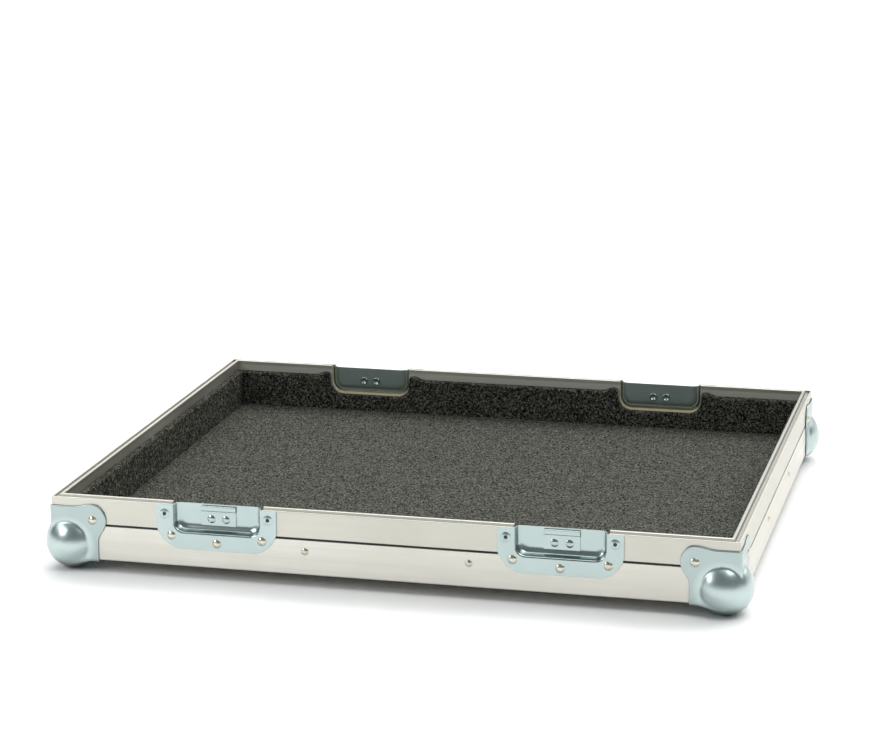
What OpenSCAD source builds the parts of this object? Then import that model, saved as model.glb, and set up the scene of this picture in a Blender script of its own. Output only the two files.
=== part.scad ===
// Pedalboard tray: the base half of a flight-case style pedalboard, without its lid.
// X runs along the front, Y runs from front to back and Z is up. The origin is on the
// floor, midway between the ball corners, whose lowest points are at z = 0.

/* [Tray] */
// Length of the case along the front, over the aluminium
case_w = 620; // [500:10:900]
// Depth of the case from front to back, over the aluminium
case_d = 520; // [380:10:620]
// Height of the case from its underside to the top of the outer rim
case_h = 57; // [57:1:75]

/* [Panels] */
// Thickness of the plywood walls
wall_t = 6; // [5.5:0.1:6.5]
// Thickness of the plywood base
base_t = 9; // [8:0.5:10]

/* [Extrusions] */
// Thickness of the outer aluminium legs
leg_t = 1.5; // [1.4:0.1:1.6]
// Thickness of the inner aluminium legs and webs
web_t = 1.2; // [1:0.1:1.4]
// Height of the lower angle on the walls
lower_h = 31.8; // [31:0.2:32.4]
// Width of the lower angle under the base
lower_w = 30; // [26:1:34]
// Gap between the lower angle and the rim, where the wall shows
band_gap = 2.2; // [1.6:0.2:3]
// Depth of the locating groove in the rim
groove_h = 2.2; // [1.6:0.1:6]
// Height of the inner lip of the rim above its outer edge
lip_rise = 1.1; // [0.6:0.1:2]

/* [Lining] */
// Thickness of the padded wall lining
lining_t = 6.3; // [5:0.1:8]
// Height of bare rim above the lining
lining_drop = 9; // [7:0.5:11]
// Thickness of the floor carpet
carpet_t = 2.5; // [2:0.25:4]

/* [Catch dishes] */
// Width of a catch dish over its flange
dish_w = 111; // [108:1:114]
// Height of a catch dish flange
dish_h = 40.5; // [39:0.5:41]
// Width of the opening of the recess
mouth_w = 80; // [78:1:82]
// Height of the opening of the recess
mouth_h = 25; // [24:0.5:25.5]
// Depth of the recess behind the case face
dish_depth = 9; // [8:0.1:9.4]
// Thickness of the pressed steel
dish_t = 1.2; // [1:0.1:1.4]
// Width of a keeper plate
keeper_w = 32; // [28:1:36]

/* [Ball corners] */
// Radius of the ball
ball_r = 24.4; // [23.8:0.1:25.2]
// Thickness of the pressed steel
corner_t = 1.5; // [1.2:0.1:1.8]
// Distance of the ball's centre inside both case faces
ball_inset = 14; // [13.4:0.1:14.4]
// Height of the ball's centre above the underside of the case
ball_lift = 12.7; // [12:0.1:13]

/* [Rivets] */
// Radius of a rivet's shank
shank_r = 2; // [1.6:0.1:2.2]
// Radius of the head of a flange or corner rivet
head_r = 4.1; // [3.8:0.1:4.4]
// Radius of the head of a rivet in a keeper plate or a lower angle
small_head_r = 3.4; // [3:0.1:3.7]

/* [Hidden] */
$fn = 48;

SIDES = ["front", "back", "left", "right"];

// Colours
aluminium = [0.86, 0.86, 0.83];
zinc = [0.74, 0.80, 0.79];
rivet_steel = [0.82, 0.82, 0.76];
ply = [0.80, 0.68, 0.45];
lining_grey = [0.16, 0.17, 0.16];
carpet_grey = [0.33, 0.34, 0.33];

// Small working sizes
EPS = 0.01;
fit_gap = 0.05;
past = 5;
small_round = 0.6;

// Heights above the underside of the case
case_z = ball_r - ball_lift;
base_top = leg_t + base_t;
wall_bottom = base_top + web_t;
rim_bottom = lower_h + band_gap;
wall_top = case_h - groove_h - web_t;
lip_top = case_h + lip_rise;
carpet_top = base_top + carpet_t;
lining_top = case_h - lining_drop;

// Depths inward from an outer case face
wall_in = leg_t + wall_t;
rim_in = wall_in + web_t;
lining_in = rim_in + lining_t;
lip_w = 2.9;
groove_rib = 0.8;
groove_rib_h = 0.7;
grip_h = 15.4;

// Catch dishes: sizes below are in the plane of the case face, from the dish's top centre
dish_x = case_w / 4;
dish_corner = 19;
mouth_r = 10;
wall_slope = 4.2;
wall_foot = 1.5;
cutout_w = mouth_w + 4;
cutout_h = mouth_h + 2.6;
cutout_r = mouth_r + 2;
// How far the lining stays back from the edge of a cut-out in the plywood
lining_room = 2.2;
// Across, up from the dish's top edge, and the depth of case that the rivet passes through
dish_rivet_places = [
    [-47.8, -8.7, rim_in], [47.8, -8.7, rim_in],
    [-42, -28.5, wall_in], [42, -28.5, wall_in],
    [0, -33.8, rim_in],
];

// Keeper plates
keeper_t = 1.8;
keeper_top = 1.5;
keeper_h = 17.8;
keeper_lip_h = 4.4;
keeper_lip_out = 2;
keeper_rivet_x = 6.7;
keeper_rivet_z = -13.5;

// Ball corners
leg_reach = 44;
leg_top = 49.4;
lobe_r = 12.8;
lobe_at = 38.6;
lobe_up = 37.2;
leg_skirt = 1.5;
// Where a leg starts, in from the folded point
leg_start = 3.5;
neck_r = 20;
neck_up = 13;
neck_depth = 1.6;

// Rivets
head_h = 1.6;
small_head_h = 1.3;
tail_h = 1.5;
tail_r = 2.8;
mandrel_r = 0.95;
mandrel_h = 0.9;
lower_rivet_x = 74;
lower_rivet_z = 21.6;
hole_r = shank_r + fit_gap;

// ---------------------------------------------------------------- placing

function wall_turn(side) = side == "front" ? 0 : side == "right" ? 90 : side == "back" ? 180 : 270;
function is_long(side) = side == "front" || side == "back";
function wall_length(side) = is_long(side) ? case_w : case_d;
function wall_reach(side) = is_long(side) ? case_d / 2 : case_w / 2;

// On a wall, X runs along it, Y runs inward from its outer face, Z is up from the underside
module at_wall(side) {
    rotate(wall_turn(side)) translate([0, -wall_reach(side), case_z]) children();
}

// On a dish, X and Y are across and inward, and Z is up from the dish's top edge
function dish_place(side, end) = (side == "front" ? 1 : -1) * (end == "left" ? -1 : 1) * dish_x;

module at_dish(side, end) {
    at_wall(side) translate([dish_place(side, end), 0, case_h]) children();
}

// At a corner, the case fills the positive octant
module at_corner(side, end) {
    flip_x = end == "right" ? 1 : 0;
    flip_y = side == "back" ? 1 : 0;
    translate([(flip_x * 2 - 1) * case_w / 2, (flip_y * 2 - 1) * case_d / 2, case_z])
        mirror([flip_x, 0, 0])
            mirror([0, flip_y, 0])
                children();
}

module at_all_dishes() {
    for (side = ["front", "back"], end = ["left", "right"]) at_dish(side, end) children();
}

module at_all_corners() {
    for (side = ["front", "back"], end = ["left", "right"]) at_corner(side, end) children();
}

// Turns an outline drawn across X and up Y to lie in the plane of a wall
module upright(thickness) {
    rotate([90, 0, 0]) translate([0, 0, -thickness]) linear_extrude(thickness) children();
}

// Runs a section drawn inward along X and up Y along the whole of a wall
module run_along(length) {
    rotate([90, 0, 90]) translate([0, 0, -length / 2]) linear_extrude(length) children();
}

// Keeps what lies between the two mitre cuts at the ends of a wall
module mitred(length) {
    run_in = 60;
    intersection() {
        children();
        translate([0, 0, -past])
            linear_extrude(lip_top + 2 * past)
                polygon([
                    [-length / 2, 0], [length / 2, 0],
                    [length / 2 - run_in, run_in], [run_in - length / 2, run_in],
                ]);
    }
}

// ---------------------------------------------------------------- outlines

// A bar whose top end is rounded on both edges
module rounded_bar(w, h, r) {
    square([w, h - r]);
    translate([r, 0]) square([w - 2 * r, h]);
    for (x = [r, w - r]) translate([x, h - r]) circle(r);
}

// An outline open at its top edge with both lower corners rounded, centred on X, top at Y = 0
module tub_outline(w, h, r) {
    translate([-w / 2, r - h]) square([w, h - r]);
    translate([r - w / 2, -h]) square([w - 2 * r, h]);
    for (s = [-1, 1]) translate([s * (w / 2 - r), r - h]) circle(r);
}

// ---------------------------------------------------------------- rivets

// A rivet set along Y: its head stands out of the plane y = 0 and its tail past y = grip
module rivet(r, h, grip) {
    dome_r = (r * r + h * h) / (2 * h);
    rotate([90, 0, 0]) difference() {
        union() {
            intersection() {
                translate([0, 0, h - dome_r]) sphere(dome_r);
                cylinder(r = r, h = h + EPS);
            }
            translate([0, 0, -grip]) cylinder(r = shank_r, h = grip + EPS);
            translate([0, 0, -grip - tail_h]) cylinder(r = tail_r, h = tail_h);
        }
        translate([0, 0, h - mandrel_h]) cylinder(r = mandrel_r, h = mandrel_h + 1);
        translate([0, 0, -grip - tail_h - 1]) cylinder(r = mandrel_r, h = mandrel_h + 1);
    }
}

module hole(from, to, r = hole_r) {
    translate([0, from, 0]) rotate([-90, 0, 0]) cylinder(r = r, h = to - from);
}

// A hole through a depth of case, with room behind it for the rivet's tail
module pierced(grip) {
    hole(-past, grip + EPS);
    hole(grip, grip + tail_h + 4 * fit_gap, tail_r + 2 * fit_gap);
}

module at_keeper_rivets() {
    for (s = [-1, 1]) translate([s * keeper_rivet_x, 0, keeper_rivet_z]) children();
}

module at_lower_rivets(side) {
    at_wall(side) for (s = [-1, 1]) translate([s * lower_rivet_x, 0, lower_rivet_z]) children();
}

// The two wall rivets of a corner: on the front or back, and on the side
module at_corner_wall_rivets() {
    translate([lobe_at, 0, lobe_up]) children();
    mirror([1, -1, 0]) translate([lobe_at, 0, lobe_up]) children();
}

// The rivet of a corner that goes up into the base
module at_corner_base_rivet() {
    mirror([0, 1, -1]) translate([lobe_at, 0, lobe_at]) children();
}

// Every hole through the walls and the base, in the frame of the whole case
module all_rivet_holes() {
    at_all_dishes() for (p = dish_rivet_places) translate([p[0], 0, p[1]]) pierced(p[2]);
    at_all_corners() at_corner_wall_rivets() pierced(rim_in);
    at_all_corners() at_corner_base_rivet() pierced(base_top);
    for (side = SIDES) at_lower_rivets(side) pierced(rim_in);
}

module dish_rivets() {
    color(rivet_steel) at_all_dishes() for (p = dish_rivet_places)
        translate([p[0], -dish_t, p[1]]) rivet(head_r, head_h, p[2] + dish_t);
}

module keeper_rivets() {
    color(rivet_steel) at_all_dishes() at_keeper_rivets()
        translate([0, dish_depth - dish_t - keeper_t, 0])
            rivet(small_head_r, small_head_h, dish_t + keeper_t);
}

module corner_rivets() {
    color(rivet_steel) at_all_corners() {
        at_corner_wall_rivets()
            translate([0, -corner_t, 0]) rivet(head_r, head_h, rim_in + corner_t);
        at_corner_base_rivet()
            translate([0, -corner_t, 0]) rivet(head_r, head_h, base_top + corner_t);
    }
}

module lower_angle_rivets() {
    color(rivet_steel) for (side = SIDES) at_lower_rivets(side)
        rivet(small_head_r, small_head_h, rim_in);
}

// ---------------------------------------------------------------- panels

// The space for one catch dish through a wall
module dish_cutout(from, to, room = 0) {
    translate([0, from, EPS]) upright(to - from) union() {
        tub_outline(cutout_w + 2 * room, cutout_h + room, cutout_r + room);
        translate([-cutout_w / 2 - room, -EPS]) square([cutout_w + 2 * room, past + lip_rise]);
    }
}

module base_panel() {
    color(ply) difference() {
        translate([rim_in - case_w / 2, rim_in - case_d / 2, case_z + leg_t])
            cube([case_w - 2 * rim_in, case_d - 2 * rim_in, base_t]);
        all_rivet_holes();
    }
}

module panel(side) {
    length = is_long(side) ? case_w - 2 * leg_t : case_d - 2 * wall_in;
    color(ply) difference() {
        at_wall(side) translate([-length / 2, leg_t, wall_bottom])
            cube([length, wall_t, wall_top - wall_bottom]);
        all_rivet_holes();
        if (is_long(side)) at_all_dishes() dish_cutout(0, wall_in + EPS);
    }
}

// ---------------------------------------------------------------- extrusions

// Double angle: an outer corner, and an inner corner that grips the wall and the base
module lower_angle_section() {
    outer_r = 1.4;
    difference() {
        union() {
            translate([outer_r, 0]) square([lower_w - outer_r, leg_t]);
            translate([0, outer_r]) square([leg_t, lower_h - outer_r]);
            translate([outer_r, outer_r]) circle(outer_r);
        }
        translate([leg_t, leg_t]) square(outer_r);
    }
    translate([0, base_top]) square([lining_in, web_t]);
    translate([wall_in, 0]) square([web_t, base_top + grip_h]);
}

module lower_angle(side) {
    length = wall_length(side);
    color(aluminium) difference() {
        at_wall(side) mitred(length) run_along(length) lower_angle_section();
        all_rivet_holes();
        if (is_long(side)) at_all_dishes() dish_cutout(-past, leg_t + EPS);
    }
}

// Rim: an outer band and an inner leg that grip the wall, with a locating groove on top
module rim_section() {
    translate([0, rim_bottom]) rounded_bar(leg_t, case_h - rim_bottom, small_round);
    translate([wall_in, rim_bottom]) square([web_t, wall_top - rim_bottom + EPS]);
    translate([0, wall_top]) square([rim_in, web_t]);
    translate([rim_in - lip_w, wall_top]) rounded_bar(lip_w, lip_top - wall_top, small_round);
    translate([(leg_t + rim_in - lip_w - groove_rib) / 2, wall_top])
        square([groove_rib, web_t + groove_rib_h]);
}

module rim(side) {
    length = wall_length(side);
    color(aluminium) difference() {
        at_wall(side) mitred(length) run_along(length) rim_section();
        all_rivet_holes();
        if (is_long(side)) at_all_dishes() dish_cutout(-past, rim_in + past);
    }
}

// ---------------------------------------------------------------- catch dishes

// Section of the sloping wall: X is the distance from a corner's axis, Y is inward
module dish_wall_section() {
    polygon([
        [mouth_r, -dish_t], [mouth_r + wall_foot, -dish_t], [mouth_r + wall_foot, 0],
        [mouth_r + wall_foot - wall_slope, dish_depth],
        [mouth_r - wall_slope, dish_depth], [mouth_r - wall_slope, dish_depth - dish_t],
    ]);
}

module dish_wall() {
    side_x = mouth_w / 2 - mouth_r;
    floor_z = mouth_r - mouth_h;
    for (s = [0, 1]) mirror([s, 0, 0]) {
        translate([side_x, 0, floor_z]) linear_extrude(-floor_z) dish_wall_section();
        translate([side_x, 0, floor_z]) rotate([90, 0, 0]) mirror([0, 1, 0])
            rotate_extrude(angle = 90) mirror([0, 1]) dish_wall_section();
    }
    translate([0, 0, floor_z]) rotate([0, 90, 0])
        translate([0, 0, -side_x]) linear_extrude(2 * side_x) dish_wall_section();
}

module catch_dish(side, end) {
    slot = wall_slope - wall_foot / 2;
    color(zinc) at_dish(side, end) difference() {
        union() {
            translate([0, -dish_t, 0]) upright(dish_t) difference() {
                tub_outline(dish_w, dish_h, dish_corner);
                translate([0, EPS]) tub_outline(mouth_w + wall_foot, mouth_h + wall_foot / 2 + EPS,
                    mouth_r + wall_foot / 2);
            }
            dish_wall();
            translate([0, dish_depth - dish_t, 0]) upright(dish_t)
                tub_outline(mouth_w - 2 * slot, mouth_h - slot, mouth_r - slot);
        }
        for (p = dish_rivet_places) translate([p[0], 0, p[1]]) hole(-past, past);
        at_keeper_rivets() hole(0, dish_depth + past);
    }
}

// A riveted plate with a lip stepped outward at its top, which the catch hooks over
module keeper_plate(side, end) {
    back = dish_depth - dish_t;
    front = back - keeper_t;
    top = -keeper_top;
    bend = top - keeper_lip_h;
    color(zinc) at_dish(side, end) difference() {
        run_along(keeper_w) polygon([
            [back, top - keeper_h], [back, bend + keeper_t / 2],
            [back - keeper_lip_out, bend + keeper_t], [back - keeper_lip_out, top],
            [front - keeper_lip_out, top], [front - keeper_lip_out, bend],
            [front, bend - keeper_t / 2], [front, top - keeper_h],
        ]);
        at_keeper_rivets() hole(0, dish_depth + past);
    }
}

// ---------------------------------------------------------------- ball corners

// One leg of the corner, across X and up Y from the corner of the case: a lobe round the
// rivet, above a shallow neck
module leg_outline(top, lobe_height) {
    difference() {
        translate([-corner_t, -leg_skirt]) square([leg_reach + corner_t, lobe_height + leg_skirt]);
        translate([leg_reach + neck_r - neck_depth, neck_up]) circle(neck_r);
    }
    translate([-corner_t, -leg_skirt]) square([lobe_at + corner_t, top + leg_skirt]);
    translate([lobe_at, lobe_height]) circle(lobe_r);
}

module corner_legs() {
    translate([0, -corner_t, 0]) upright(corner_t) leg_outline(leg_top, lobe_up);
    mirror([1, -1, 0]) translate([0, -corner_t, 0]) upright(corner_t)
        leg_outline(leg_top, lobe_up);
    mirror([0, 1, -1]) translate([0, -corner_t, 0]) upright(corner_t)
        leg_outline(leg_reach, lobe_at);
}

// Three legs folded round a corner of the case. They stop short of the folded point, which the
// ball covers
module ball_corner(side, end) {
    far = 80;
    inner_r = ball_r - corner_t;
    centre = [ball_inset, ball_inset, ball_lift];
    color(zinc) at_corner(side, end) difference() {
        union() {
            difference() {
                corner_legs();
                translate([1, 1, 1] * (leg_start - far)) cube(far);
            }
            translate(centre) sphere(ball_r);
        }
        translate(centre) sphere(inner_r);
        cube(far);
        at_corner_wall_rivets() hole(-past, past);
        at_corner_base_rivet() hole(-past, past);
    }
}

// ---------------------------------------------------------------- lining

module lining(side) {
    length = is_long(side) ? case_w - 2 * rim_in : case_d - 2 * lining_in;
    color(lining_grey) difference() {
        at_wall(side) translate([-length / 2, rim_in, wall_bottom])
            cube([length, lining_t, lining_top - wall_bottom]);
        all_rivet_holes();
        if (is_long(side)) at_all_dishes() dish_cutout(0, lining_in + past, lining_room);
    }
}

module floor_carpet() {
    color(carpet_grey) difference() {
        translate([lining_in - case_w / 2, lining_in - case_d / 2, case_z + base_top])
            cube([case_w - 2 * lining_in, case_d - 2 * lining_in, carpet_t]);
        all_rivet_holes();
    }
}

// ---------------------------------------------------------------- the assembly

base_panel();
panel("front");  // panel_front
panel("back");  // panel_back
panel("left");  // panel_left
panel("right");  // panel_right
lower_angle("front");  // lower_angle_front
lower_angle("back");  // lower_angle_back
lower_angle("left");  // lower_angle_left
lower_angle("right");  // lower_angle_right
rim("front");  // rim_front
rim("back");  // rim_back
rim("left");  // rim_left
rim("right");  // rim_right
ball_corner("front", "left");  // ball_corner_front_left
ball_corner("front", "right");  // ball_corner_front_right
ball_corner("back", "left");  // ball_corner_back_left
ball_corner("back", "right");  // ball_corner_back_right
catch_dish("front", "left");  // catch_dish_front_left
catch_dish("front", "right");  // catch_dish_front_right
catch_dish("back", "left");  // catch_dish_back_left
catch_dish("back", "right");  // catch_dish_back_right
keeper_plate("front", "left");  // keeper_plate_front_left
keeper_plate("front", "right");  // keeper_plate_front_right
keeper_plate("back", "left");  // keeper_plate_back_left
keeper_plate("back", "right");  // keeper_plate_back_right
lining("front");  // lining_front
lining("back");  // lining_back
lining("left");  // lining_left
lining("right");  // lining_right
floor_carpet();
corner_rivets();
dish_rivets();
keeper_rivets();
lower_angle_rivets();
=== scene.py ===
"""Looks for the pedalboard tray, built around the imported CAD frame. Sizes here are in
millimetres, and MM turns them into metres. What the frame gives is in metres."""
import math

import bpy
import numpy as np
from mathutils import Euler, Matrix, Vector, noise


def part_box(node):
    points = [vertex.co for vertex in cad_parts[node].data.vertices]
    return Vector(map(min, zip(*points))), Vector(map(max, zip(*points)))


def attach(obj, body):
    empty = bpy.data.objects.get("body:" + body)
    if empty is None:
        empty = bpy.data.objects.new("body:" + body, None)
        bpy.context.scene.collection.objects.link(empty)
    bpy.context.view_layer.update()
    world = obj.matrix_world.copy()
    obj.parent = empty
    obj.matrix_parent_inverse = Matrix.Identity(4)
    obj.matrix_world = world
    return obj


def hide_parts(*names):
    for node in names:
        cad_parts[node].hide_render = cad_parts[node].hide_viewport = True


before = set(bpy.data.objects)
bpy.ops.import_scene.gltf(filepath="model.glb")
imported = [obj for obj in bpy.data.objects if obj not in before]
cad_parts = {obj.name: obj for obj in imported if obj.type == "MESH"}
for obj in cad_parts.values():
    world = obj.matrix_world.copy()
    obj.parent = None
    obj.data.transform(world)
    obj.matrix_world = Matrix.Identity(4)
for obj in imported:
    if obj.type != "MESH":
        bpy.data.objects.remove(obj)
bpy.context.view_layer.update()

MM = 0.001
SIDES = ("front", "back", "left", "right")
ENDS = ("left", "right")

# ------------------------------------------------------------------ places, from the frame

HALF_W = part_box("rim_front")[1].x
HALF_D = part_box("rim_back")[1].y
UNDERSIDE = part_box("lower_angle_front")[0].z
DISH_X = (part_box("catch_dish_front_right")[0].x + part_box("catch_dish_front_right")[1].x) / 2

# Sizes shared with the CAD model. Heights are above the underside of the case, and the names
# that end in _IN are depths inward from its outer face.
CASE_H = 57
WALL_IN = 7.5
RIM_IN = 8.7
LINING_IN = 15
LINING_TOP = 48
WALL_BOTTOM = 11.7
BASE_TOP = 10.5
CARPET_TOP = 13
DISH_T = 1.2
DISH_DEPTH = 9
# The cut-outs in the lining, behind the catch dishes
CUTOUT_HALF_W = 43.7
CUTOUT_H = 28.6
CUTOUT_R = 14.2
# The ball corners. A lobe is the centre of a leg's rivet, measured from the case's corner.
CORNER_T = 1.5
BALL_R = 24.4
BALL_CENTRE = Vector((14, 14, 12.7))
LOBE = (38.6, 37.2)
BASE_LOBE = (38.6, 38.6)
SHANK_R = 2
# The two rivets in each lower angle: distance from its middle, and height
ANGLE_RIVET_X = 74
ANGLE_RIVET_UP = 21.6


def wall_frame(side):
    """Turns (along, inward, up) in millimetres on a wall into the row frame. Along runs to the
    right as seen from outside."""
    turn, reach = {
        "front": (0, HALF_D), "right": (90, HALF_W), "back": (180, HALF_D), "left": (270, HALF_W),
    }[side]
    spin = Matrix.Rotation(math.radians(turn), 4, "Z")
    return spin @ Matrix.Translation((0, -reach, UNDERSIDE)) @ Matrix.Scale(MM, 4)


def dish_frame(side, end):
    """As wall_frame, but measured from the top centre of a catch dish."""
    along = DISH_X / MM * (1 if side == "front" else -1) * (1 if end == "right" else -1)
    return wall_frame(side) @ Matrix.Translation((along, 0, CASE_H))


def corner_frame(side, end):
    """Turns (x, y, z) in millimetres, measured into the case from a lower corner of it, into the
    row frame."""
    sx = 1 if end == "right" else -1
    sy = 1 if side == "back" else -1
    flip = Matrix.Diagonal((-sx * MM, -sy * MM, MM, 1))
    return Matrix.Translation((sx * HALF_W, sy * HALF_D, UNDERSIDE)) @ flip


# ------------------------------------------------------------------ helpers


def share(value, start, end):
    """How far value has come from start to end, kept between 0 and 1."""
    return min(max((value - start) / (end - start), 0), 1)


def new_piece(name, verts, faces, material, replaced, place=None):
    """A smooth-shaded mesh that rides on the tray and stands for CAD nodes."""
    mesh = bpy.data.meshes.new(name)
    mesh.from_pydata([tuple(v) for v in verts], [], faces)
    if place is not None:
        mesh.transform(place)
        if place.determinant() < 0:
            mesh.flip_normals()
    mesh.validate()
    mesh.shade_smooth()
    mesh.materials.append(material)
    piece = bpy.data.objects.new(name, mesh)
    bpy.context.collection.objects.link(piece)
    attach(piece, "root")
    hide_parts(*replaced)
    return piece


def add_modifier(piece, kind, **settings):
    modifier = piece.modifiers.new(kind.title(), kind)
    for key, value in settings.items():
        setattr(modifier, key, value)


def thicken(piece, thickness, edge_round, inner_material=None):
    """Gives a pressed sheet its thickness, inward from its outer face, and softens its edges. Its
    inner face may have a material of its own."""
    if inner_material is not None:
        piece.data.materials.append(inner_material)
    add_modifier(
        piece, "SOLIDIFY", thickness=thickness * MM, offset=-1, use_even_offset=True,
        material_offset=len(piece.data.materials) - 1,
    )
    soften(piece, edge_round)


def soften(piece, edge_round, angle=50):
    """Rounds the edges that turn by more than angle degrees."""
    add_modifier(
        piece, "BEVEL", width=edge_round * MM, segments=2, limit_method="ANGLE",
        angle_limit=math.radians(angle), harden_normals=True,
    )


def grid_faces(rows, columns, closed=False):
    """Quads between rows of points. closed joins the last column to the first."""
    faces = []
    for r in range(rows - 1):
        for c in range(columns if closed else columns - 1):
            d = (c + 1) % columns
            here, beyond = r * columns, (r + 1) * columns
            faces.append((here + c, here + d, beyond + d, beyond + c))
    return faces


def fillet_path(points, radii, steps):
    """A flat polyline with each inner corner rounded to its radius."""
    path = [Vector(points[0])]
    for before, corner, after, radius in zip(points, points[1:], points[2:], radii):
        b, c, a = Vector(before), Vector(corner), Vector(after)
        to_b, to_a = (b - c).normalized(), (a - c).normalized()
        half = to_b.angle(to_a) / 2
        reach = radius / math.tan(half)
        centre = c + (to_b + to_a).normalized() * radius / math.sin(half)
        start, end = c + to_b * reach, c + to_a * reach
        for i in range(steps + 1):
            spoke = (start - centre).lerp(end - centre, i / steps).normalized()
            path.append(centre + spoke * radius)
    path.append(Vector(points[-1]))
    return path


def lathe(profile, segments=32):
    """A closed solid of revolution about Z from (radius, height) points whose ends are on Z."""
    verts = [(0, 0, profile[0][1])]
    inner = profile[1:-1]
    for r, h in inner:
        for s in range(segments):
            a = 2 * math.pi * s / segments
            verts.append((r * math.cos(a), r * math.sin(a), h))
    verts.append((0, 0, profile[-1][1]))
    faces = []
    for s in range(segments):
        t = (s + 1) % segments
        faces.append((0, 1 + s, 1 + t))
        for k in range(len(inner) - 1):
            a, b = 1 + k * segments, 1 + (k + 1) * segments
            faces.append((a + s, b + s, b + t, a + t))
        last = 1 + (len(inner) - 1) * segments
        faces.append((last + s, len(verts) - 1, last + t))
    return verts, faces


# ------------------------------------------------------------------ materials


class Shader:
    """A material's node tree, with short calls for the nodes used here."""

    def __init__(self, name):
        self.material = bpy.data.materials.new(name)
        self.material.use_nodes = True
        self.tree = self.material.node_tree
        self.principled = self.tree.nodes["Principled BSDF"]
        self.place = self.node("ShaderNodeTexCoord").outputs["Object"]

    def node(self, kind, **settings):
        made = self.tree.nodes.new(kind)
        for key, value in settings.items():
            setattr(made, key, value)
        return made

    def link(self, source, target):
        if hasattr(source, "is_output"):
            self.tree.links.new(source, target)
        else:
            target.default_value = source

    def set(self, **values):
        for key, value in values.items():
            self.link(value, self.principled.inputs[key.replace("_", " ")])

    def scaled(self, scale):
        made = self.node("ShaderNodeMapping")
        made.inputs["Scale"].default_value = scale
        self.link(self.place, made.inputs["Vector"])
        return made.outputs["Vector"]

    def noise(self, scale, detail=3, roughness=0.5, stretch=(1, 1, 1), distortion=0):
        made = self.node("ShaderNodeTexNoise")
        self.link(self.scaled(stretch), made.inputs["Vector"])
        made.inputs["Scale"].default_value = scale
        made.inputs["Detail"].default_value = detail
        made.inputs["Roughness"].default_value = roughness
        made.inputs["Distortion"].default_value = distortion
        return made.outputs["Fac"]

    def ramp(self, value, low, high, to_low=0.0, to_high=1.0):
        """Takes value from low...high to to_low...to_high, and holds it there outside them."""
        made = self.node("ShaderNodeMapRange")
        self.link(value, made.inputs["Value"])
        made.inputs["From Min"].default_value = low
        made.inputs["From Max"].default_value = high
        made.inputs["To Min"].default_value = to_low
        made.inputs["To Max"].default_value = to_high
        return made.outputs["Result"]

    def math(self, operation, a, b=0.0):
        made = self.node("ShaderNodeMath", operation=operation)
        self.link(a, made.inputs[0])
        self.link(b, made.inputs[1])
        return made.outputs[0]

    def mix(self, factor, a, b):
        """Mixes two colours. The sockets are chosen by place, because a Mix node has several of
        each name, one for each type of data."""
        made = self.node("ShaderNodeMix", data_type="RGBA")
        self.link(factor, made.inputs[0])
        for target, colour in zip((made.inputs[6], made.inputs[7]), (a, b)):
            self.link(colour if hasattr(colour, "is_output") else (*colour, 1), target)
        return made.outputs[2]

    def separated(self, vector):
        made = self.node("ShaderNodeSeparateXYZ")
        self.link(vector, made.inputs[0])
        return made.outputs

    def blend(self, *weighted):
        """Sum of (value, weight) pairs."""
        total = None
        for value, weight in weighted:
            part = self.math("MULTIPLY", value, weight)
            total = part if total is None else self.math("ADD", total, part)
        return total

    def bump(self, height, strength, distance):
        """A bumped normal. distance is in millimetres."""
        made = self.node("ShaderNodeBump")
        made.inputs["Strength"].default_value = strength
        made.inputs["Distance"].default_value = distance * MM
        self.link(height, made.inputs["Height"])
        return made.outputs["Normal"]


# Where the aluminium changes its look: between lower angle and rim, where the rim's painted shade
# begins, in the web under the rim's groove, where the groove's painted shading begins, and where
# the rim's inner leg starts
SEAM = (32.4, 33.4)
GROOVE_WEB = 54.2
INNER_LEG_IN = 7.3


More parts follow.
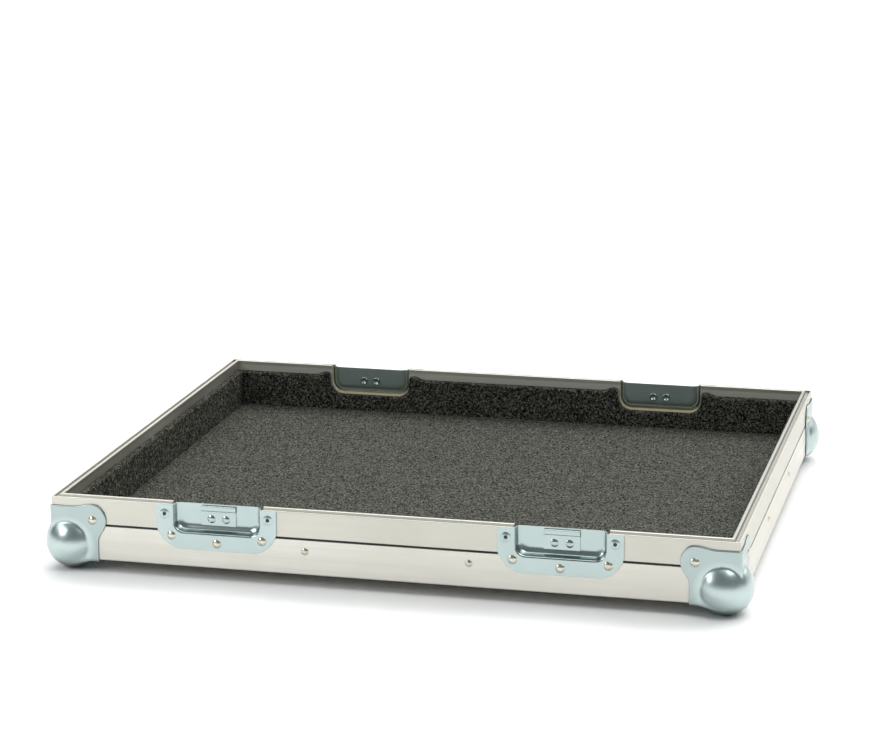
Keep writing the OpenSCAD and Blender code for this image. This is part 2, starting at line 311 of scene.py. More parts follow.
def aluminium(name, along, groove, top, groove_shading_tint, shine, leg_shine=1.0):
    """Satin mill-finish aluminium with faint die lines along one axis (0 is X, 1 is Y). A band on
    top of the rim, over its groove, has painted shading and its own shine: a flat tint that is
    painted shade for the groove at the back and sides, and a little painted light at the front.
    groove gives its reach in millimetres inside the case's face, and top its upper limit above the
    underside. The rim's inner leg may be duller."""
    s = Shader(name)
    dark, light, cloudy = (0.64, 0.622, 0.565), (0.74, 0.722, 0.67), (0.68, 0.66, 0.595)
    rim_shade_tone = (0.54, 0.53, 0.47)
    edge_soft, top_soft = 0.15, 0.3
    drawn_out = [1.0, 1.0, 1.0]
    drawn_out[along] = 0.010
    lines = s.noise(900, detail=4, roughness=0.65, stretch=drawn_out)
    broad = s.noise(130, detail=2, stretch=drawn_out)
    patches = s.noise(9, detail=5, roughness=0.6)
    streaks = s.blend((lines, 0.4), (broad, 0.6))
    base = s.mix(s.ramp(streaks, 0.36, 0.64), dark, light)
    base = s.mix(s.ramp(patches, 0.4, 0.7, 0, 0.6), base, cloudy)

    place = s.separated(s.place)
    half = HALF_D if along == 0 else HALF_W
    inside = s.math("SUBTRACT", half, s.math("ABSOLUTE", place[1 - along]))
    up = s.math("SUBTRACT", place["Z"], UNDERSIDE)
    # Painted shade: the rim is coloured darker than the lower angle, for a difference in the light
    # on them rather than in the metal
    rim_shade_mask = s.ramp(up, SEAM[0] * MM, SEAM[1] * MM, 0, 0.6)
    base = s.mix(rim_shade_mask, base, rim_shade_tone)
    # Painted shading in the rim's groove: a flat tint, darker at the back and sides for the shade
    # in it, a little lighter at the front
    groove_shading_band = 1.0
    for value, edge, soft in (
        (inside, groove[0], edge_soft), (inside, groove[1], -edge_soft),
        (up, GROOVE_WEB, edge_soft), (up, top, -top_soft),
    ):
        groove_shading_band = s.math("MULTIPLY", groove_shading_band, s.ramp(value, edge * MM, (edge + soft) * MM))
    s.set(Base_Color=s.mix(groove_shading_band, base, groove_shading_tint))

    metallic = 1.0
    if shine < 1:
        metallic = s.ramp(groove_shading_band, 0, 1, 1.0, shine)
    if leg_shine < 1:
        behind = s.ramp(inside, INNER_LEG_IN * MM, (INNER_LEG_IN + 0.2) * MM)
        below = s.ramp(up, GROOVE_WEB * MM, (GROOVE_WEB - 0.2) * MM)
        leg = s.math("MULTIPLY", behind, below)
        metallic = s.math("MULTIPLY", s.ramp(leg, 0, 1, 1.0, leg_shine), metallic)
    s.set(Metallic=metallic)
    s.set(Roughness=s.ramp(s.math("ADD", streaks, patches), 0.7, 1.3, 0.36, 0.5))
    s.set(Normal=s.bump(streaks, 0.3, 0.05))
    return s.material


def zinc(name, bottom_shade_up_to=None, shadow_line_at=None, metal=1.0, soft=0.0):
    """Bright zinc-plated steel, faintly blue-green, with soft cloudy patches. A ball corner is
    brighter near its ball, with painted shade darkening its legs a little, and painted shade
    darkens it below bottom_shade_up_to, a height over the floor, for the shadowed floor that its
    low part reflects. shadow_line_at is the height over the underside of a painted shadow line.
    metal under
    1 and soft make it duller."""
    s = Shader(name)
    dark, light = (0.41, 0.49, 0.48), (0.455, 0.54, 0.535)
    polished, leg_shade_colour = (0.50, 0.59, 0.58), (0.1, 0.12, 0.12)
    bottom_shade_colour, shadow_line_colour = (0.10, 0.125, 0.12), (0.10, 0.13, 0.125)
    clouds = s.noise(22, detail=3, roughness=0.5, distortion=0.3)
    height = s.separated(s.place)["Z"]
    base = s.mix(s.ramp(clouds, 0.35, 0.65), dark, light)
    if bottom_shade_up_to:
        mirrored = s.node("ShaderNodeVectorMath", operation="ABSOLUTE")
        s.link(s.place, mirrored.inputs[0])
        away = s.node("ShaderNodeVectorMath", operation="DISTANCE")
        s.link(mirrored.outputs[0], away.inputs[0])
        away.inputs[1].default_value = corner_frame("back", "right") @ BALL_CENTRE
        near = s.ramp(away.outputs["Value"], (BALL_R + 2) * MM, (BALL_R + 7) * MM, 1, 0)
        # The ball is brighter; painted shade darkens the legs a little away from it
        base = s.mix(near, s.mix(0.12, base, leg_shade_colour), polished)
        # Painted shade: darker towards the bottom, for the shadowed floor that the ball reflects
        base = s.mix(s.ramp(height, bottom_shade_up_to * MM, 0, 0, 0.85), base, bottom_shade_colour)
    # Painted shadow: a thin dark line under the keeper plate's step
    if shadow_line_at:
        off = s.math("ABSOLUTE", s.math("SUBTRACT", height, UNDERSIDE + shadow_line_at * MM))
        base = s.mix(s.ramp(off, 0.2 * MM, 0.6 * MM, 0.75, 0), base, shadow_line_colour)
    s.set(Base_Color=base)
    s.set(Metallic=metal)
    s.set(Roughness=s.ramp(clouds, 0.3, 0.7, 0.21 + soft, 0.28 + soft))
    s.set(Normal=s.bump(clouds, 0.05, 0.2))
    return s.material


def rivet_metal(name):
    """Bare steel, a little yellowed in patches."""
    s = Shader(name)
    yellowed, bright = (0.56, 0.54, 0.42), (0.66, 0.65, 0.57)
    wear = s.noise(260, detail=3)
    s.set(Base_Color=s.mix(s.ramp(wear, 0.4, 0.62), yellowed, bright))
    s.set(Metallic=1.0)
    s.set(Roughness=s.ramp(wear, 0.3, 0.7, 0.2, 0.32))
    s.set(Normal=s.bump(wear, 0.1, 0.1))
    return s.material


def bore(name):
    """Painted shade for the inside of a hollow rivet: its shallow recess is coloured near black for
    the shade down the bore.
    """
    s = Shader(name)
    black, grey = (0.02, 0.022, 0.02), (0.07, 0.075, 0.065)
    bore_speckle = s.noise(600, detail=3)
    # Painted shade: near black, for the shade down the bore
    s.set(Base_Color=s.mix(bore_speckle, black, grey))
    s.set(Roughness=s.ramp(bore_speckle, 0.3, 0.7, 0.6, 0.8))
    return s.material


def plywood(name, axis):
    """Birch ply with black laminate on its outer face. The sheet is thin along axis."""
    s = Shader(name)
    late_wood, early_wood, grain_tone = (0.80, 0.68, 0.42), (0.98, 0.90, 0.68), (0.68, 0.56, 0.34)
    laminate, laminate_fleck = (0.012, 0.012, 0.012), (0.030, 0.029, 0.027)
    radians_per_metre = 4400  # a light and a dark ply together are 1.4 mm
    facing = s.separated(s.node("ShaderNodeNewGeometry").outputs["Normal"])
    across = s.separated(s.place)[axis]
    outward = -1.0 if axis == 2 else s.math("SIGN", across)
    is_face = s.math("GREATER_THAN", s.math("MULTIPLY", facing[axis], outward), 0.5)
    wander = s.noise(60, detail=3)
    through = s.math("MULTIPLY", across, radians_per_metre)
    layer = s.math("SINE", s.math("ADD", through, wander))
    grain = s.noise(300, detail=5, roughness=0.7)
    wood = s.mix(s.ramp(layer, -0.3, 0.4), late_wood, early_wood)
    wood = s.mix(s.ramp(grain, 0.5, 0.75, 0, 0.5), wood, grain_tone)
    fleck = s.noise(700, detail=3)
    black = s.mix(s.ramp(fleck, 0.35, 0.7), laminate, laminate_fleck)
    s.set(Base_Color=s.mix(is_face, wood, black))
    s.set(Roughness=s.ramp(is_face, 0, 1, 0.7, 0.5))
    s.set(Normal=s.bump(s.math("ADD", grain, fleck), 0.3, 0.12))
    return s.material


def pile(name, dark, light, tuft, low, high, bump, nap=1.0):
    """Felted pile. Tufts about the given size in millimetres are lighter or darker, with most of
    the cloth between the noise levels low and high, and stand up by bump millimetres. A nap
    under 1 lays them along Y."""
    s = Shader(name)
    lie = (1, nap, 1)
    fine = s.noise(1000 / tuft, detail=2, roughness=0.6, distortion=1.0, stretch=lie)
    fibre = s.noise(2600 / tuft, detail=2, roughness=0.6, stretch=lie)
    broad = s.noise(200 / tuft, detail=2)
    speck = s.blend((fine, 0.66), (fibre, 0.27), (broad, 0.07))
    s.set(Base_Color=s.mix(s.ramp(speck, low, high), dark, light))
    s.set(Roughness=1.0)
    s.set(Specular_IOR_Level=0.1)
    s.set(Normal=s.bump(speck, 1.0, bump))
    return s.material


MATERIALS = {
    "front": aluminium(
        "aluminium_front", along=0, groove=(1.2, 6.1), top=57.9, groove_shading_tint=(0.66, 0.65, 0.61), shine=0.3,
    ),
    "back": aluminium(
        "aluminium_back", along=0, groove=(-0.2, 2.2), top=57.3, groove_shading_tint=(0.22, 0.22, 0.20), shine=0.1,
        leg_shine=0.5,
    ),
    "left": aluminium(
        "aluminium_left", along=1, groove=(-0.2, 9), top=58.6, groove_shading_tint=(0.48, 0.47, 0.43), shine=1.0,
    ),
    "right": aluminium(
        "aluminium_right", along=1, groove=(1.2, 9), top=58.6, groove_shading_tint=(0.40, 0.40, 0.37), shine=1.0,
    ),
    "zinc": zinc("zinc_plate"),
    "ball_zinc": zinc("zinc_ball_corner", bottom_shade_up_to=13, soft=0.06),
    "inner_zinc": zinc("zinc_inner_face", metal=0.82, soft=0.08),
    "keeper_zinc": zinc("zinc_keeper", shadow_line_at=CASE_H - 6.1),
    "rivet_bore": bore("rivet_bore"),
    "rivet": rivet_metal("rivet_metal"),
    "ply_x": plywood("birch_ply_side", axis=0),
    "ply_y": plywood("birch_ply_front", axis=1),
    "ply_z": plywood("birch_ply_base", axis=2),
    "lining": pile(
        "lining_pile", dark=(0.001, 0.001, 0.001), light=(0.29, 0.295, 0.24), tuft=1.9,
        low=0.465, high=0.70, bump=1.3,
    ),
    "carpet": pile(
        "carpet_pile", dark=(0.002, 0.003, 0.002), light=(0.195, 0.198, 0.168), tuft=1.65,
        low=0.445, high=0.625, bump=1.3, nap=0.85,
    ),
}

# ------------------------------------------------------------------ carried-over CAD nodes


def dress(node, material):
    """Puts one material all over a CAD node that keeps its own mesh."""
    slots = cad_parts[node].material_slots
    for slot in slots:
        slot.material = material
    if not slots:
        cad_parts[node].data.materials.append(material)


EXTRUSION_ROUND = 0.25

for side in SIDES:
    for kind in ("rim_", "lower_angle_"):
        dress(kind + side, MATERIALS[side])
        soften(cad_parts[kind + side], EXTRUSION_ROUND, angle=35)
    dress("panel_" + side, MATERIALS["ply_y" if side in ("front", "back") else "ply_x"])
dress("base_panel", MATERIALS["ply_z"])

# ------------------------------------------------------------------ ball corners


LEG_REACH = 43.4  # of a leg along the case, from the corner
LEG_TOP = 49.2  # of the two upright legs, above the underside
BALL_STRETCH = (1.07, 1.07, 1.13)  # of the ball's half that lies along the case


def smooth_union(a, b, blend):
    """Signed distance from two shapes together, melted into each other over a blend length."""
    h = max(blend - abs(a - b), 0) / blend
    return min(a, b) - h * h * blend / 4


def leg_distance(a, b, top, lobe):
    """Signed distance, roughly, from the outline of a leg, across a and up b from the case's
    corner: a plate with a round lobe at its rivet, blended so that a neck forms beneath it."""
    plate_round, lobe_r, neck_blend = 3, 12.9, 9
    dx, dy = a - (LEG_REACH - plate_round), b - (top - plate_round)
    plate = math.hypot(max(dx, 0), max(dy, 0)) + min(max(dx, dy), 0) - plate_round
    disc = math.hypot(a - lobe[0], b - lobe[1]) - lobe_r
    return smooth_union(plate, disc, neck_blend)


def leg_radius(angle, top, lobe):
    """How far the outline is from the folded corner in one direction, by bisection."""
    near, far = 20.0, 80.0
    for _ in range(40):
        mid = (near + far) / 2
        a, b = (mid * f - CORNER_T for f in (math.cos(angle), math.sin(angle)))
        if leg_distance(a, b, top, lobe) < 0:
            near = mid
        else:
            far = mid
    return near


def corner_surface(point, depth):
    """Rounds the folds of the three legs and swells the ball out of them, depth below the outer
    face of the pressing."""
    fold_round = 2.0
    p = Vector(point)
    past = Vector([min(c + CORNER_T - depth - fold_round, 0) for c in p])
    if sum(1 for c in past if c < 0) > 1:
        p += past * (fold_round / past.length - 1)
    out = p - BALL_CENTRE
    # The ball is drawn out a little along the faces of the case
    even = Vector([c / k if c > 0 else c for c, k in zip(out, BALL_STRETCH)])
    d, ball = even.length, BALL_R - depth
    # Near the folded point the legs would stand out of the ball, so the ball covers them
    clear = share(max(point), 6, 12)
    d_leg = d if d < ball else ball + (d - ball) * clear
    # The ball runs into the legs over a short way on the walls, and a longer one near the base
    low = share(point[2], 8, -1)
    blend = (1.6 + 6.0 * low * low * (3 - 2 * low)) * clear + 0.01
    h = max(blend - abs(d_leg - ball), 0) / blend
    return BALL_CENTRE + out * ((max(d_leg, ball) + h * h * blend / 4) / d)


def ball_corner(side, end):
    """The pressing as spokes from its folded point to the outline of its three legs. Rings cross
    the spokes, out over its outer face and back over its inner face."""
    spokes_per_leg, first_ring, rings, inner_step = 56, 2, 52, 3
    sheet, edge_round, inner_round = 1.0, 0.3, 0.1
    quarter = math.pi / 2
    # Each leg's face, its height, its lobe and the way its spokes turn, going round the pressing
    legs = (
        (lambda a, b, c: (a, c, b), LEG_TOP, LOBE, (0, 1)),
        (lambda a, b, c: (c, a, b), LEG_TOP, LOBE, (1, 0)),
        (lambda a, b, c: (a, b, c), LEG_REACH, BASE_LOBE, (1, 0)),
    )
    spokes = []
    for to_point, top, lobe, (first, last) in legs:
        for i in range(spokes_per_leg):
            angle = quarter * (first + (last - first) * i / spokes_per_leg)
            spokes.append((to_point, angle, leg_radius(angle, top, lobe)))

    def ring(way_out, shrink, depth):
        for to_point, angle, radius in spokes:
            reach = (radius - shrink) * way_out
            fold = depth * (1 - way_out) - CORNER_T
            a, b = reach * math.cos(angle) + fold, reach * math.sin(angle) + fold
            yield corner_surface(to_point(a, b, depth - CORNER_T), depth)

    verts = [corner_surface((-CORNER_T,) * 3, 0)]
    for r in range(first_ring, rings + 1):
        verts += ring(r / rings, edge_round, 0)
    verts += ring(1, 0, edge_round)
    verts += ring(1, 0, sheet - inner_round)
    for r in range(rings, first_ring - 1, -inner_step):
        verts += ring(r / rings, edge_round, sheet)
    verts.append(corner_surface((sheet - CORNER_T,) * 3, sheet))
    count = len(spokes)
    ring_count = (len(verts) - 2) // count
    last = 1 + (ring_count - 1) * count
    faces = [(0, 1 + (s + 1) % count, 1 + s) for s in range(count)]
    faces += [tuple(1 + i for i in face) for face in grid_faces(ring_count, count, closed=True)]
    faces += [(last + (s + 1) % count, len(verts) - 1, last + s) for s in range(count)]
    # Any face of the outer skin tells which way they all face
    a, b, c = (verts[i] for i in faces[count * 20][:3])
    if (b - a).cross(c - a).dot(a - BALL_CENTRE) < 0:
        faces = [face[::-1] for face in faces]
    name = f"ball_corner_{side}_{end}"
    new_piece(
        name + "_pressing", verts, faces, MATERIALS["ball_zinc"], [name],
        corner_frame(side, end),
    )


# ------------------------------------------------------------------ catch dishes


def tub_ring(half_w, height, radius, power=2.0):
    """Points down one side of a tub outline, round its corners and up the other. power under 2
    flattens the corners."""
    side_steps, arc_steps, bottom_steps = 6, 14, 20
    radius = min(radius, half_w, height)
    left = [(-half_w, -(height - radius) * i / side_steps) for i in range(side_steps)]
    for i in range(arc_steps):
        a = math.pi / 2 * i / arc_steps
        c, s = math.cos(a) ** (2 / power), math.sin(a) ** (2 / power)
        left.append((-half_w + radius - radius * c, -height + radius - radius * s))
    flat = half_w - radius
    bottom = [(-flat + 2 * flat * i / bottom_steps, -height) for i in range(bottom_steps + 1)]
    right = [(-x, z) for x, z in reversed(left)]
    return left + bottom + right


# Outer face of a keeper plate, as a depth behind the case's face
KEEPER_FACE = DISH_DEPTH - DISH_T - 1.4


def catch_dish(side, end):
    """A pressed flange round a recessed tub, as rings from the flange's outline to the tub's
    floor."""
    mouth_half_w, mouth_h, mouth_r, mouth_edge = 40, 25, 10, 2.5
    flange_half_w, flange_h, flange_r, flange_power = 55.5, 40.5, 20, 1.6
    sheet, edge_round, floor = 0.9, 0.25, DISH_DEPTH - DISH_T
    # Inward from the mouth's edge, and depth behind the case's face
    wall = fillet_path(
        [(-mouth_edge, -DISH_T), (0, -DISH_T), (1.3, 5.4), (5.2, floor), (12, floor)],
        [1.8, 3.0, 8.0], steps=6,
    )
    start = tub_ring(flange_half_w, flange_h, flange_r, flange_power)
    stop = tub_ring(mouth_half_w + mouth_edge, mouth_h + mouth_edge, mouth_r + mouth_edge)
    rings = []
    flange_steps = 4
    for i in range(flange_steps):
        k = i / flange_steps
        rings.append([((1 - k) * a[0] + k * b[0], -DISH_T, (1 - k) * a[1] + k * b[1])
                      for a, b in zip(start, stop)])
    for inset, depth in wall:
        corner_r = max(mouth_r - inset * 0.6, 1.5)
        outline = tub_ring(mouth_half_w - inset, mouth_h - inset, corner_r)
        rings.append([(x, depth, z) for x, z in outline])
    columns = len(rings[0])
    verts = [p for ring in rings for p in ring]
    faces = grid_faces(len(rings), columns)
    faces.append(tuple(range((len(rings) - 1) * columns, len(rings) * columns)))
    name = f"catch_dish_{side}_{end}"
    piece = new_piece(
        name + "_pressing", verts, faces, MATERIALS["zinc"], [name],
        dish_frame(side, end),
    )
    thicken(piece, sheet, edge_round, MATERIALS["inner_zinc"])


def keeper_plate(side, end):
    """A riveted plate whose top is stepped outward, for the catch to hook over."""
    half_w, corner, sheet, edge_round = 16, 1.2, 1.35, 0.3
    # Heights from the dish's top. The path goes up the plate, out at the step and over the lip.
    bottom, step_up, lip_up, top = -19.3, -6.3, -5.8, -1.6
    path = fillet_path(
        [(KEEPER_FACE, bottom), (KEEPER_FACE, step_up), (KEEPER_FACE - 1.1, lip_up),
         (KEEPER_FACE - 1.0, top), (KEEPER_FACE + 0.6, top + 0.2)],
        [0.4, 0.4, 0.5], steps=4,
    )
    to_right = [half_w - corner, half_w - corner * 0.3, half_w]
    across = [-x for x in reversed(to_right)] + to_right
    verts = [(x, p.x, p.y) for p in path for x in across]
    faces = grid_faces(len(path), len(across))
    name = f"keeper_plate_{side}_{end}"
    piece = new_piece(
        name + "_bent", verts, faces, MATERIALS["keeper_zinc"], [name],
        dish_frame(side, end),
    )
    thicken(piece, sheet, edge_round)


# ------------------------------------------------------------------ rivets


def rivet_profile(radius, height, grip, open_top, tail_r=2.8):
    """(radius, height) points of a set blind rivet from the top of its head to its tail. The
    mandrel broke off below an open top, and flush with the others."""
    if open_top:
        top = [(0, 0.1), (1.6, 0.1), (1.65, height * 0.75), (1.8, height * 0.92)]
    else:
        top = [(0, height * 1.03), (0.7, height * 1.02), (0.95, height * 0.97), (1.1, height)]
    dome = (radius**2 + height**2) / (2 * height)
    head = [(radius * k, math.sqrt(dome**2 - (radius * k) ** 2) - dome + height)
            for k in (0.45, 0.56, 0.67, 0.78, 0.88, 0.96, 1.0)]
    head.append((radius * 0.98, -0.05))
    shank = [(SHANK_R, 0), (SHANK_R, -grip)]
    tail = [(tail_r - 0.3, -grip), (tail_r, -grip - 0.4), (tail_r - 0.1, -grip - 1.1),
            (tail_r - 0.5, -grip - 1.5), (tail_r - 1.0, -grip - 1.4), (tail_r - 1.4, -grip - 0.9),
            (1.0, -grip - 0.3), (0, -grip - 0.25)]
    return top + head + shank + tail


def rivet_group(node, places, material="rivet"):
    """One piece of many rivets. Each place is a matrix, with the rivet's head along its +Z, and
    the sizes that rivet_profile takes. Those with an open top are zinc, with a bore painted dark
    for its shade."""
    plain, plated, dark = 0, 1, 2
    bore_faces = 2
    verts, faces, finishes = [], [], []
    for matrix, *sizes in places:
        profile = rivet_profile(*sizes)
        open_top = sizes[3]
        some_verts, some_faces = lathe(profile)
        faces_per_segment = len(profile) - 1
        start = len(verts)
        verts += [matrix @ Vector(v) for v in some_verts]
        turned = matrix.determinant() < 0
        faces += [tuple(start + i for i in (f[::-1] if turned else f)) for f in some_faces]
        for i in range(len(some_faces)):
            in_bore = i % faces_per_segment < bore_faces
            finishes.append((dark if in_bore else plated) if open_top else plain)
    piece = new_piece(node + "_set", verts, faces, MATERIALS[material], [node])
    if any(finishes):
        piece.data.materials.append(MATERIALS["zinc"])
        piece.data.materials.append(MATERIALS["rivet_bore"])
        piece.data.polygons.foreach_set("material_index", finishes)


# Radius and height of each kind of rivet head
HEAD = (4.1, 1.6)
OPEN_HEAD = (4.6, 0.75)
KEEPER_HEAD = (3.7, 1.2)
ANGLE_HEAD = (3.4, 1.3)
HEAD_OUT = Matrix.Rotation(math.radians(90), 4, "X")  # +Z of a rivet to -Y, out of a wall
# Across and up from a dish's top centre, the depth that the rivet grips, and whether it's open
DISH_RIVETS = (
    (-47.8, -8.7, RIM_IN, True), (47.8, -8.7, RIM_IN, True),
    (-42, -28.5, WALL_IN, False), (42, -28.5, WALL_IN, False), (0, -33.8, RIM_IN, False),
)
# The same for the two rivets in a keeper plate, which have wide tails
KEEPER_RIVET_X, KEEPER_RIVET_Z, KEEPER_GRIP, KEEPER_TAIL_R = 6.7, -13.5, 2.6, 3.9
SWAP_XY = Matrix(((0, 1, 0, 0), (1, 0, 0, 0), (0, 0, 1, 0), (0, 0, 0, 1)))
SWAP_YZ = Matrix(((1, 0, 0, 0), (0, 0, 1, 0), (0, 1, 0, 0), (0, 0, 0, 1)))
# How each leg of a ball corner is turned, its rivet's height, and the depth that it grips
CORNER_RIVETS = (
    (Matrix.Identity(4), LOBE[1], RIM_IN), (SWAP_XY, LOBE[1], RIM_IN),
    (SWAP_YZ, BASE_LOBE[1], BASE_TOP),
)


def rivet_at(frame_matrix, x, y, z):
    """Places a rivet at a point of a wall's frame, with its head outward."""
    return frame_matrix @ Matrix.Translation((x, y, z)) @ HEAD_OUT


def all_rivets():
    dish, keeper, corner, angle = [], [], [], []
    for side in ("front", "back"):
        for end in ENDS:
            tub = dish_frame(side, end)
            for x, z, grip, is_open in DISH_RIVETS:
                head = OPEN_HEAD if is_open else HEAD
                dish.append((rivet_at(tub, x, -DISH_T, z), *head, grip + DISH_T, is_open))
            for x in (-KEEPER_RIVET_X, KEEPER_RIVET_X):
                here = rivet_at(tub, x, KEEPER_FACE, KEEPER_RIVET_Z)
                keeper.append((here, *KEEPER_HEAD, KEEPER_GRIP, False, KEEPER_TAIL_R))
            for turn, up, grip in CORNER_RIVETS:
                here = rivet_at(corner_frame(side, end) @ turn, LOBE[0], -CORNER_T, up)
                corner.append((here, *HEAD, grip + CORNER_T, False))
    for side in SIDES:
        for x in (-ANGLE_RIVET_X, ANGLE_RIVET_X):
            here = rivet_at(wall_frame(side), x, 0, ANGLE_RIVET_UP)
            angle.append((here, *ANGLE_HEAD, RIM_IN, False))
    rivet_group("dish_rivets", dish)
    rivet_group("keeper_rivets", keeper, "zinc")
    rivet_group("corner_rivets", corner)
    rivet_group("lower_angle_rivets", angle)


# ------------------------------------------------------------------ lining and carpet


BACK_GAP = 0.05  # behind a lining and under the carpet, to keep their faces off the CAD's


def tufts(point, size, seed):
    """Height of a felted pile at a point in millimetres, from about -1 to 1."""
    p = Vector(point) / size + Vector((seed, seed * 1.7, seed * 0.6))
    coarse = noise.noise(p * 0.35)
    lumps = noise.fractal(p, 0.9, 2.1, 3)
    return 0.45 * coarse + 0.8 * lumps


def lining_top_at(along, has_cutouts):
    """Height of the lining's top edge, in millimetres above the underside."""
    if not has_cutouts:
        return LINING_TOP
    x = abs(abs(along) - DISH_X / MM)
    if x > CUTOUT_HALF_W:
        # The pile stands up over the tails of the dish's upper rivets
        height, middle, spread = 3.4, 48.2, 6.5
        return LINING_TOP + height * math.exp(-((x - middle) / spread) ** 2)
    floor = CASE_H - CUTOUT_H
    past = x - (CUTOUT_HALF_W - CUTOUT_R)
    if past <= 0:
        return floor
    return floor + CUTOUT_R - math.sqrt(max(CUTOUT_R**2 - past**2, 0))


def rivet_bulge(along, up, half_wall):
    """How far the pile is pushed out over the tails of the rivets behind it."""
    spread_squared = 18
    rivets = [(s * (half_wall - LOBE[0]), LOBE[1], 2.0) for s in (-1, 1)]
    rivets += [(s * ANGLE_RIVET_X, ANGLE_RIVET_UP, 1.2) for s in (-1, 1)]
    return sum(
        h * math.exp(-((along - x) ** 2 + (up - z) ** 2) / spread_squared) for x, z, h in rivets
    )


def lining(side):
    """A strip of pile along a wall, as sections across it that follow its top edge. The long
    strips are cut out at the dishes, and the short ones fit between them."""
    step, edge_round, back_round = 1.5, 2.2, 0.6
    cut_clear, cut_jump = 1.0, 0.35
    tuft, tuft_height, sunk, end_fade = 2.2, 0.6, 0.45, 2
    long_side = side in ("front", "back")
    half_wall = (HALF_W if long_side else HALF_D) / MM
    half = half_wall - (RIM_IN if long_side else LINING_IN)
    along = list(np.linspace(half, -half, int(2 * half / step)))
    if long_side:
        edges = [s * DISH_X / MM + t * CUTOUT_HALF_W for s in (-1, 1) for t in (-1, 1)]
        along = [x for x in along if min(abs(x - e) for e in edges) > cut_clear]
        along += [e + d for e in edges for d in (-cut_jump, cut_jump)]
        along.sort(reverse=True)
    back, front = RIM_IN + BACK_GAP, LINING_IN
    drops = int((LINING_TOP - WALL_BOTTOM) / step)
    rows = []
    for x in along:
        top = lining_top_at(x, long_side)
        # Round the section: up the back, over the top edge, down the face and back underneath
        section = fillet_path(
            [(back, WALL_BOTTOM), (back, top), (front, top), (front, WALL_BOTTOM)],
            [back_round, edge_round], steps=4,
        )
        upper, lowest = section[-2:]
        section = section[:-1] + [upper.lerp(lowest, (i + 1) / drops) for i in range(drops)]
        rows.append([(x, p.x, p.y) for p in section])
    columns = len(rows[0])
    seed = SIDES.index(side) * 7.3 + 1
    verts = []
    for x, y, z in (point for row in rows for point in row):
        # The pile stands inward on the face and upward along the top edge, and not on the back
        shown = 1.0 if y > back + 1.5 else 0.0
        normal = Vector((0, 1, 0)) if y > front - 0.3 else Vector((0, 0.35, 1)).normalized()
        lift = tufts((x, y, z), tuft, seed) * tuft_height
        if not long_side:
            lift *= share(half - abs(x), 0, end_fade)
        lift += rivet_bulge(x, z, half_wall) - sunk
        verts.append(Vector((x, y, z)) + normal * lift * shown)
    faces = grid_faces(len(rows), columns, closed=True)
    faces.append(tuple(range(columns - 1, -1, -1)))
    faces.append(tuple(range((len(rows) - 1) * columns, len(rows) * columns)))
    piece = new_piece(
        f"lining_{side}_pile", verts, faces, MATERIALS["lining"], [f"lining_{side}"],
        wall_frame(side),
    )


def floor_carpet():
    """A sheet of pile between the linings, with its edges down to the base."""
    step = 1.9
    tuft, tuft_height, sunk, seed = 1.7, 0.32, 0.3, 4.2
    half_w, half_d = HALF_W / MM - LINING_IN, HALF_D / MM - LINING_IN
    columns, rows = int(2 * half_w / step) + 1, int(2 * half_d / step) + 1
    bottom = UNDERSIDE / MM + BASE_TOP + BACK_GAP
    top = UNDERSIDE / MM + CARPET_TOP
    verts = []
    for y in np.linspace(-half_d, half_d, rows):
        for x in np.linspace(-half_w, half_w, columns):
            verts.append((x, y, top - sunk + tufts((x, y, 0), tuft, seed) * tuft_height))
    faces = grid_faces(rows, columns)
    # Round the sheet's edge, anticlockwise from its front left corner
    rim = (
        list(range(columns))
        + [r * columns + columns - 1 for r in range(1, rows)]
        + [(rows - 1) * columns + c for c in range(columns - 2, -1, -1)]
        + [r * columns for r in range(rows - 2, 0, -1)]
    )
    start, count = len(verts), len(rim)
    verts += [(verts[i][0], verts[i][1], bottom) for i in rim]
    for k in range(count):
        n = (k + 1) % count
        faces.append((rim[k], start + k, start + n, rim[n]))
    faces.append(tuple(start + k for k in range(count - 1, -1, -1)))
    piece = new_piece(
        "floor_carpet_pile", verts, faces, MATERIALS["carpet"], ["floor_carpet"],
        Matrix.Scale(MM, 4),
    )


# ------------------------------------------------------------------ camera, stage and lights


def camera():
    """The photo's viewpoint, in front and a little to the right."""
    place, turn = (600.7, -2451.4, 776.8), (75.834, 0.370, 13.924)
    data = bpy.data.cameras.new("camera")
    data.sensor_width = 36
    data.lens = 110.72
    data.clip_end = 30
    made = bpy.data.objects.new("camera", data)
    made.location = Vector(place) * MM
    made.rotation_euler = Euler([math.radians(a) for a in turn])
    bpy.context.collection.objects.link(made)
    bpy.context.scene.camera = made


def studio_floor():
    reach = 14  # metres
    corners = [(sx * reach, sy * reach, 0) for sx, sy in ((-1, -1), (1, -1), (1, 1), (-1, 1))]
    mesh = bpy.data.meshes.new("studio_floor")
    mesh.from_pydata(corners, [], [(0, 1, 2, 3)])
    s = Shader("studio_paper")
    fibre = s.noise(40, detail=4)
    s.set(Base_Color=s.mix(fibre, (0.86, 0.86, 0.86), (0.89, 0.89, 0.885)), Roughness=0.9)
    s.set(Specular_IOR_Level=0.1)
    mesh.materials.append(s.material)
    floor = bpy.data.objects.new("studio_floor", mesh)
    bpy.context.collection.objects.link(floor)


def softbox(name, location, target, size, power):
    """A square or oblong light. Its places and sizes are in metres, and its power in watts."""
    data = bpy.data.lights.new(name, "AREA")
    data.shape = "RECTANGLE"
    data.size, data.size_y = size
    data.energy = power
    light = bpy.data.objects.new(name, data)
    light.location = location
    aim = Vector(target) - Vector(location)
    light.rotation_euler = aim.to_track_quat("-Z", "Y").to_euler()
    bpy.context.collection.objects.link(light)


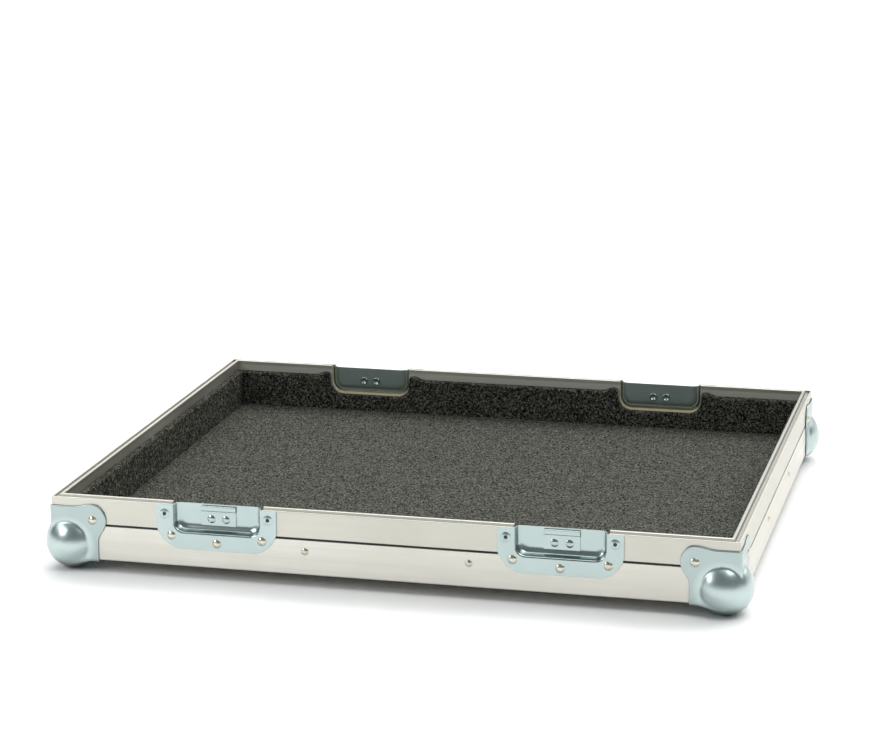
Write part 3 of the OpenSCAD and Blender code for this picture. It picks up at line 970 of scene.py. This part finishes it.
def studio_world():
    """A white room with a high window at the back, and dark walls around and behind the camera.
    A direction's Y grows toward the back of the room, and its Z toward the ceiling."""
    wall_light = 0.22
    room_colour, wall_colour = (1, 0.995, 0.985, 1), (0.9, 1, 1.02, 1)
    world = bpy.data.worlds.new("studio")
    world.use_nodes = True
    bpy.context.scene.world = world
    tree = world.node_tree
    direction = tree.nodes.new("ShaderNodeTexCoord").outputs["Generated"]
    split = tree.nodes.new("ShaderNodeSeparateXYZ")
    tree.links.new(direction, split.inputs[0])
    back, up = split.outputs["Y"], split.outputs["Z"]

    def between(value, low, high, at_low=0.0, at_high=1.0):
        made = tree.nodes.new("ShaderNodeMapRange")
        made.interpolation_type = "SMOOTHSTEP"
        tree.links.new(value, made.inputs["Value"])
        made.inputs["From Min"].default_value = low
        made.inputs["From Max"].default_value = high
        made.inputs["To Min"].default_value = at_low
        made.inputs["To Max"].default_value = at_high
        return made.outputs["Result"]

    def combine(operation, *values):
        made = tree.nodes.new("ShaderNodeMath")
        made.operation = operation
        for value, target in zip(values, made.inputs):
            if hasattr(value, "is_output"):
                tree.links.new(value, target)
            else:
                target.default_value = value
        return made.outputs[0]

    ceiling = between(up, 0.25, 0.85, 0.9, 1.6)
    window = combine("MULTIPLY", between(back, 0.05, 0.5, 0, 3.2), between(up, 0.5, 0.75))
    room = combine("ADD", ceiling, window)
    in_front = between(back, 0.6, 0.1)
    above_floor = between(up, -0.02, 0.12)
    under_roof = between(up, 0.97, 0.87)
    wall = combine("MULTIPLY", combine("MULTIPLY", in_front, above_floor), under_roof)
    shade = combine("MULTIPLY", room, between(wall, 0, 1, 1.0, 0.0))
    strength = combine("MULTIPLY_ADD", wall, wall_light, shade)
    colour = tree.nodes.new("ShaderNodeMix")
    colour.data_type = "RGBA"
    colour.inputs[6].default_value = room_colour
    colour.inputs[7].default_value = wall_colour
    tree.links.new(wall, colour.inputs[0])
    tree.links.new(strength, tree.nodes["Background"].inputs["Strength"])
    tree.links.new(colour.outputs[2], tree.nodes["Background"].inputs["Color"])


def studio():
    camera()
    studio_floor()
    studio_world()
    softbox("key", (-0.62, -0.72, 0.40), (-0.1, -0.2, 0.03), (0.25, 0.25), 1.25)
    softbox("fill", (0.8, -0.65, 1.38), (0.1, 0, 0.03), (0.7, 0.7), 7)
    softbox("left", (-1.9, -0.9, 1.5), (-0.3, -0.4, 0), (1.0, 1.0), 6)
    softbox("right", (1.7, 0.8, 1.3), (0.35, 0, 0), (1.0, 1.0), 9)
    bpy.context.scene.view_settings.view_transform = "Standard"


# ------------------------------------------------------------------ the assembly

for side in ("front", "back"):
    for end in ENDS:
        ball_corner(side, end)
        catch_dish(side, end)
        keeper_plate(side, end)
all_rivets()
for side in SIDES:
    lining(side)
floor_carpet()
studio()
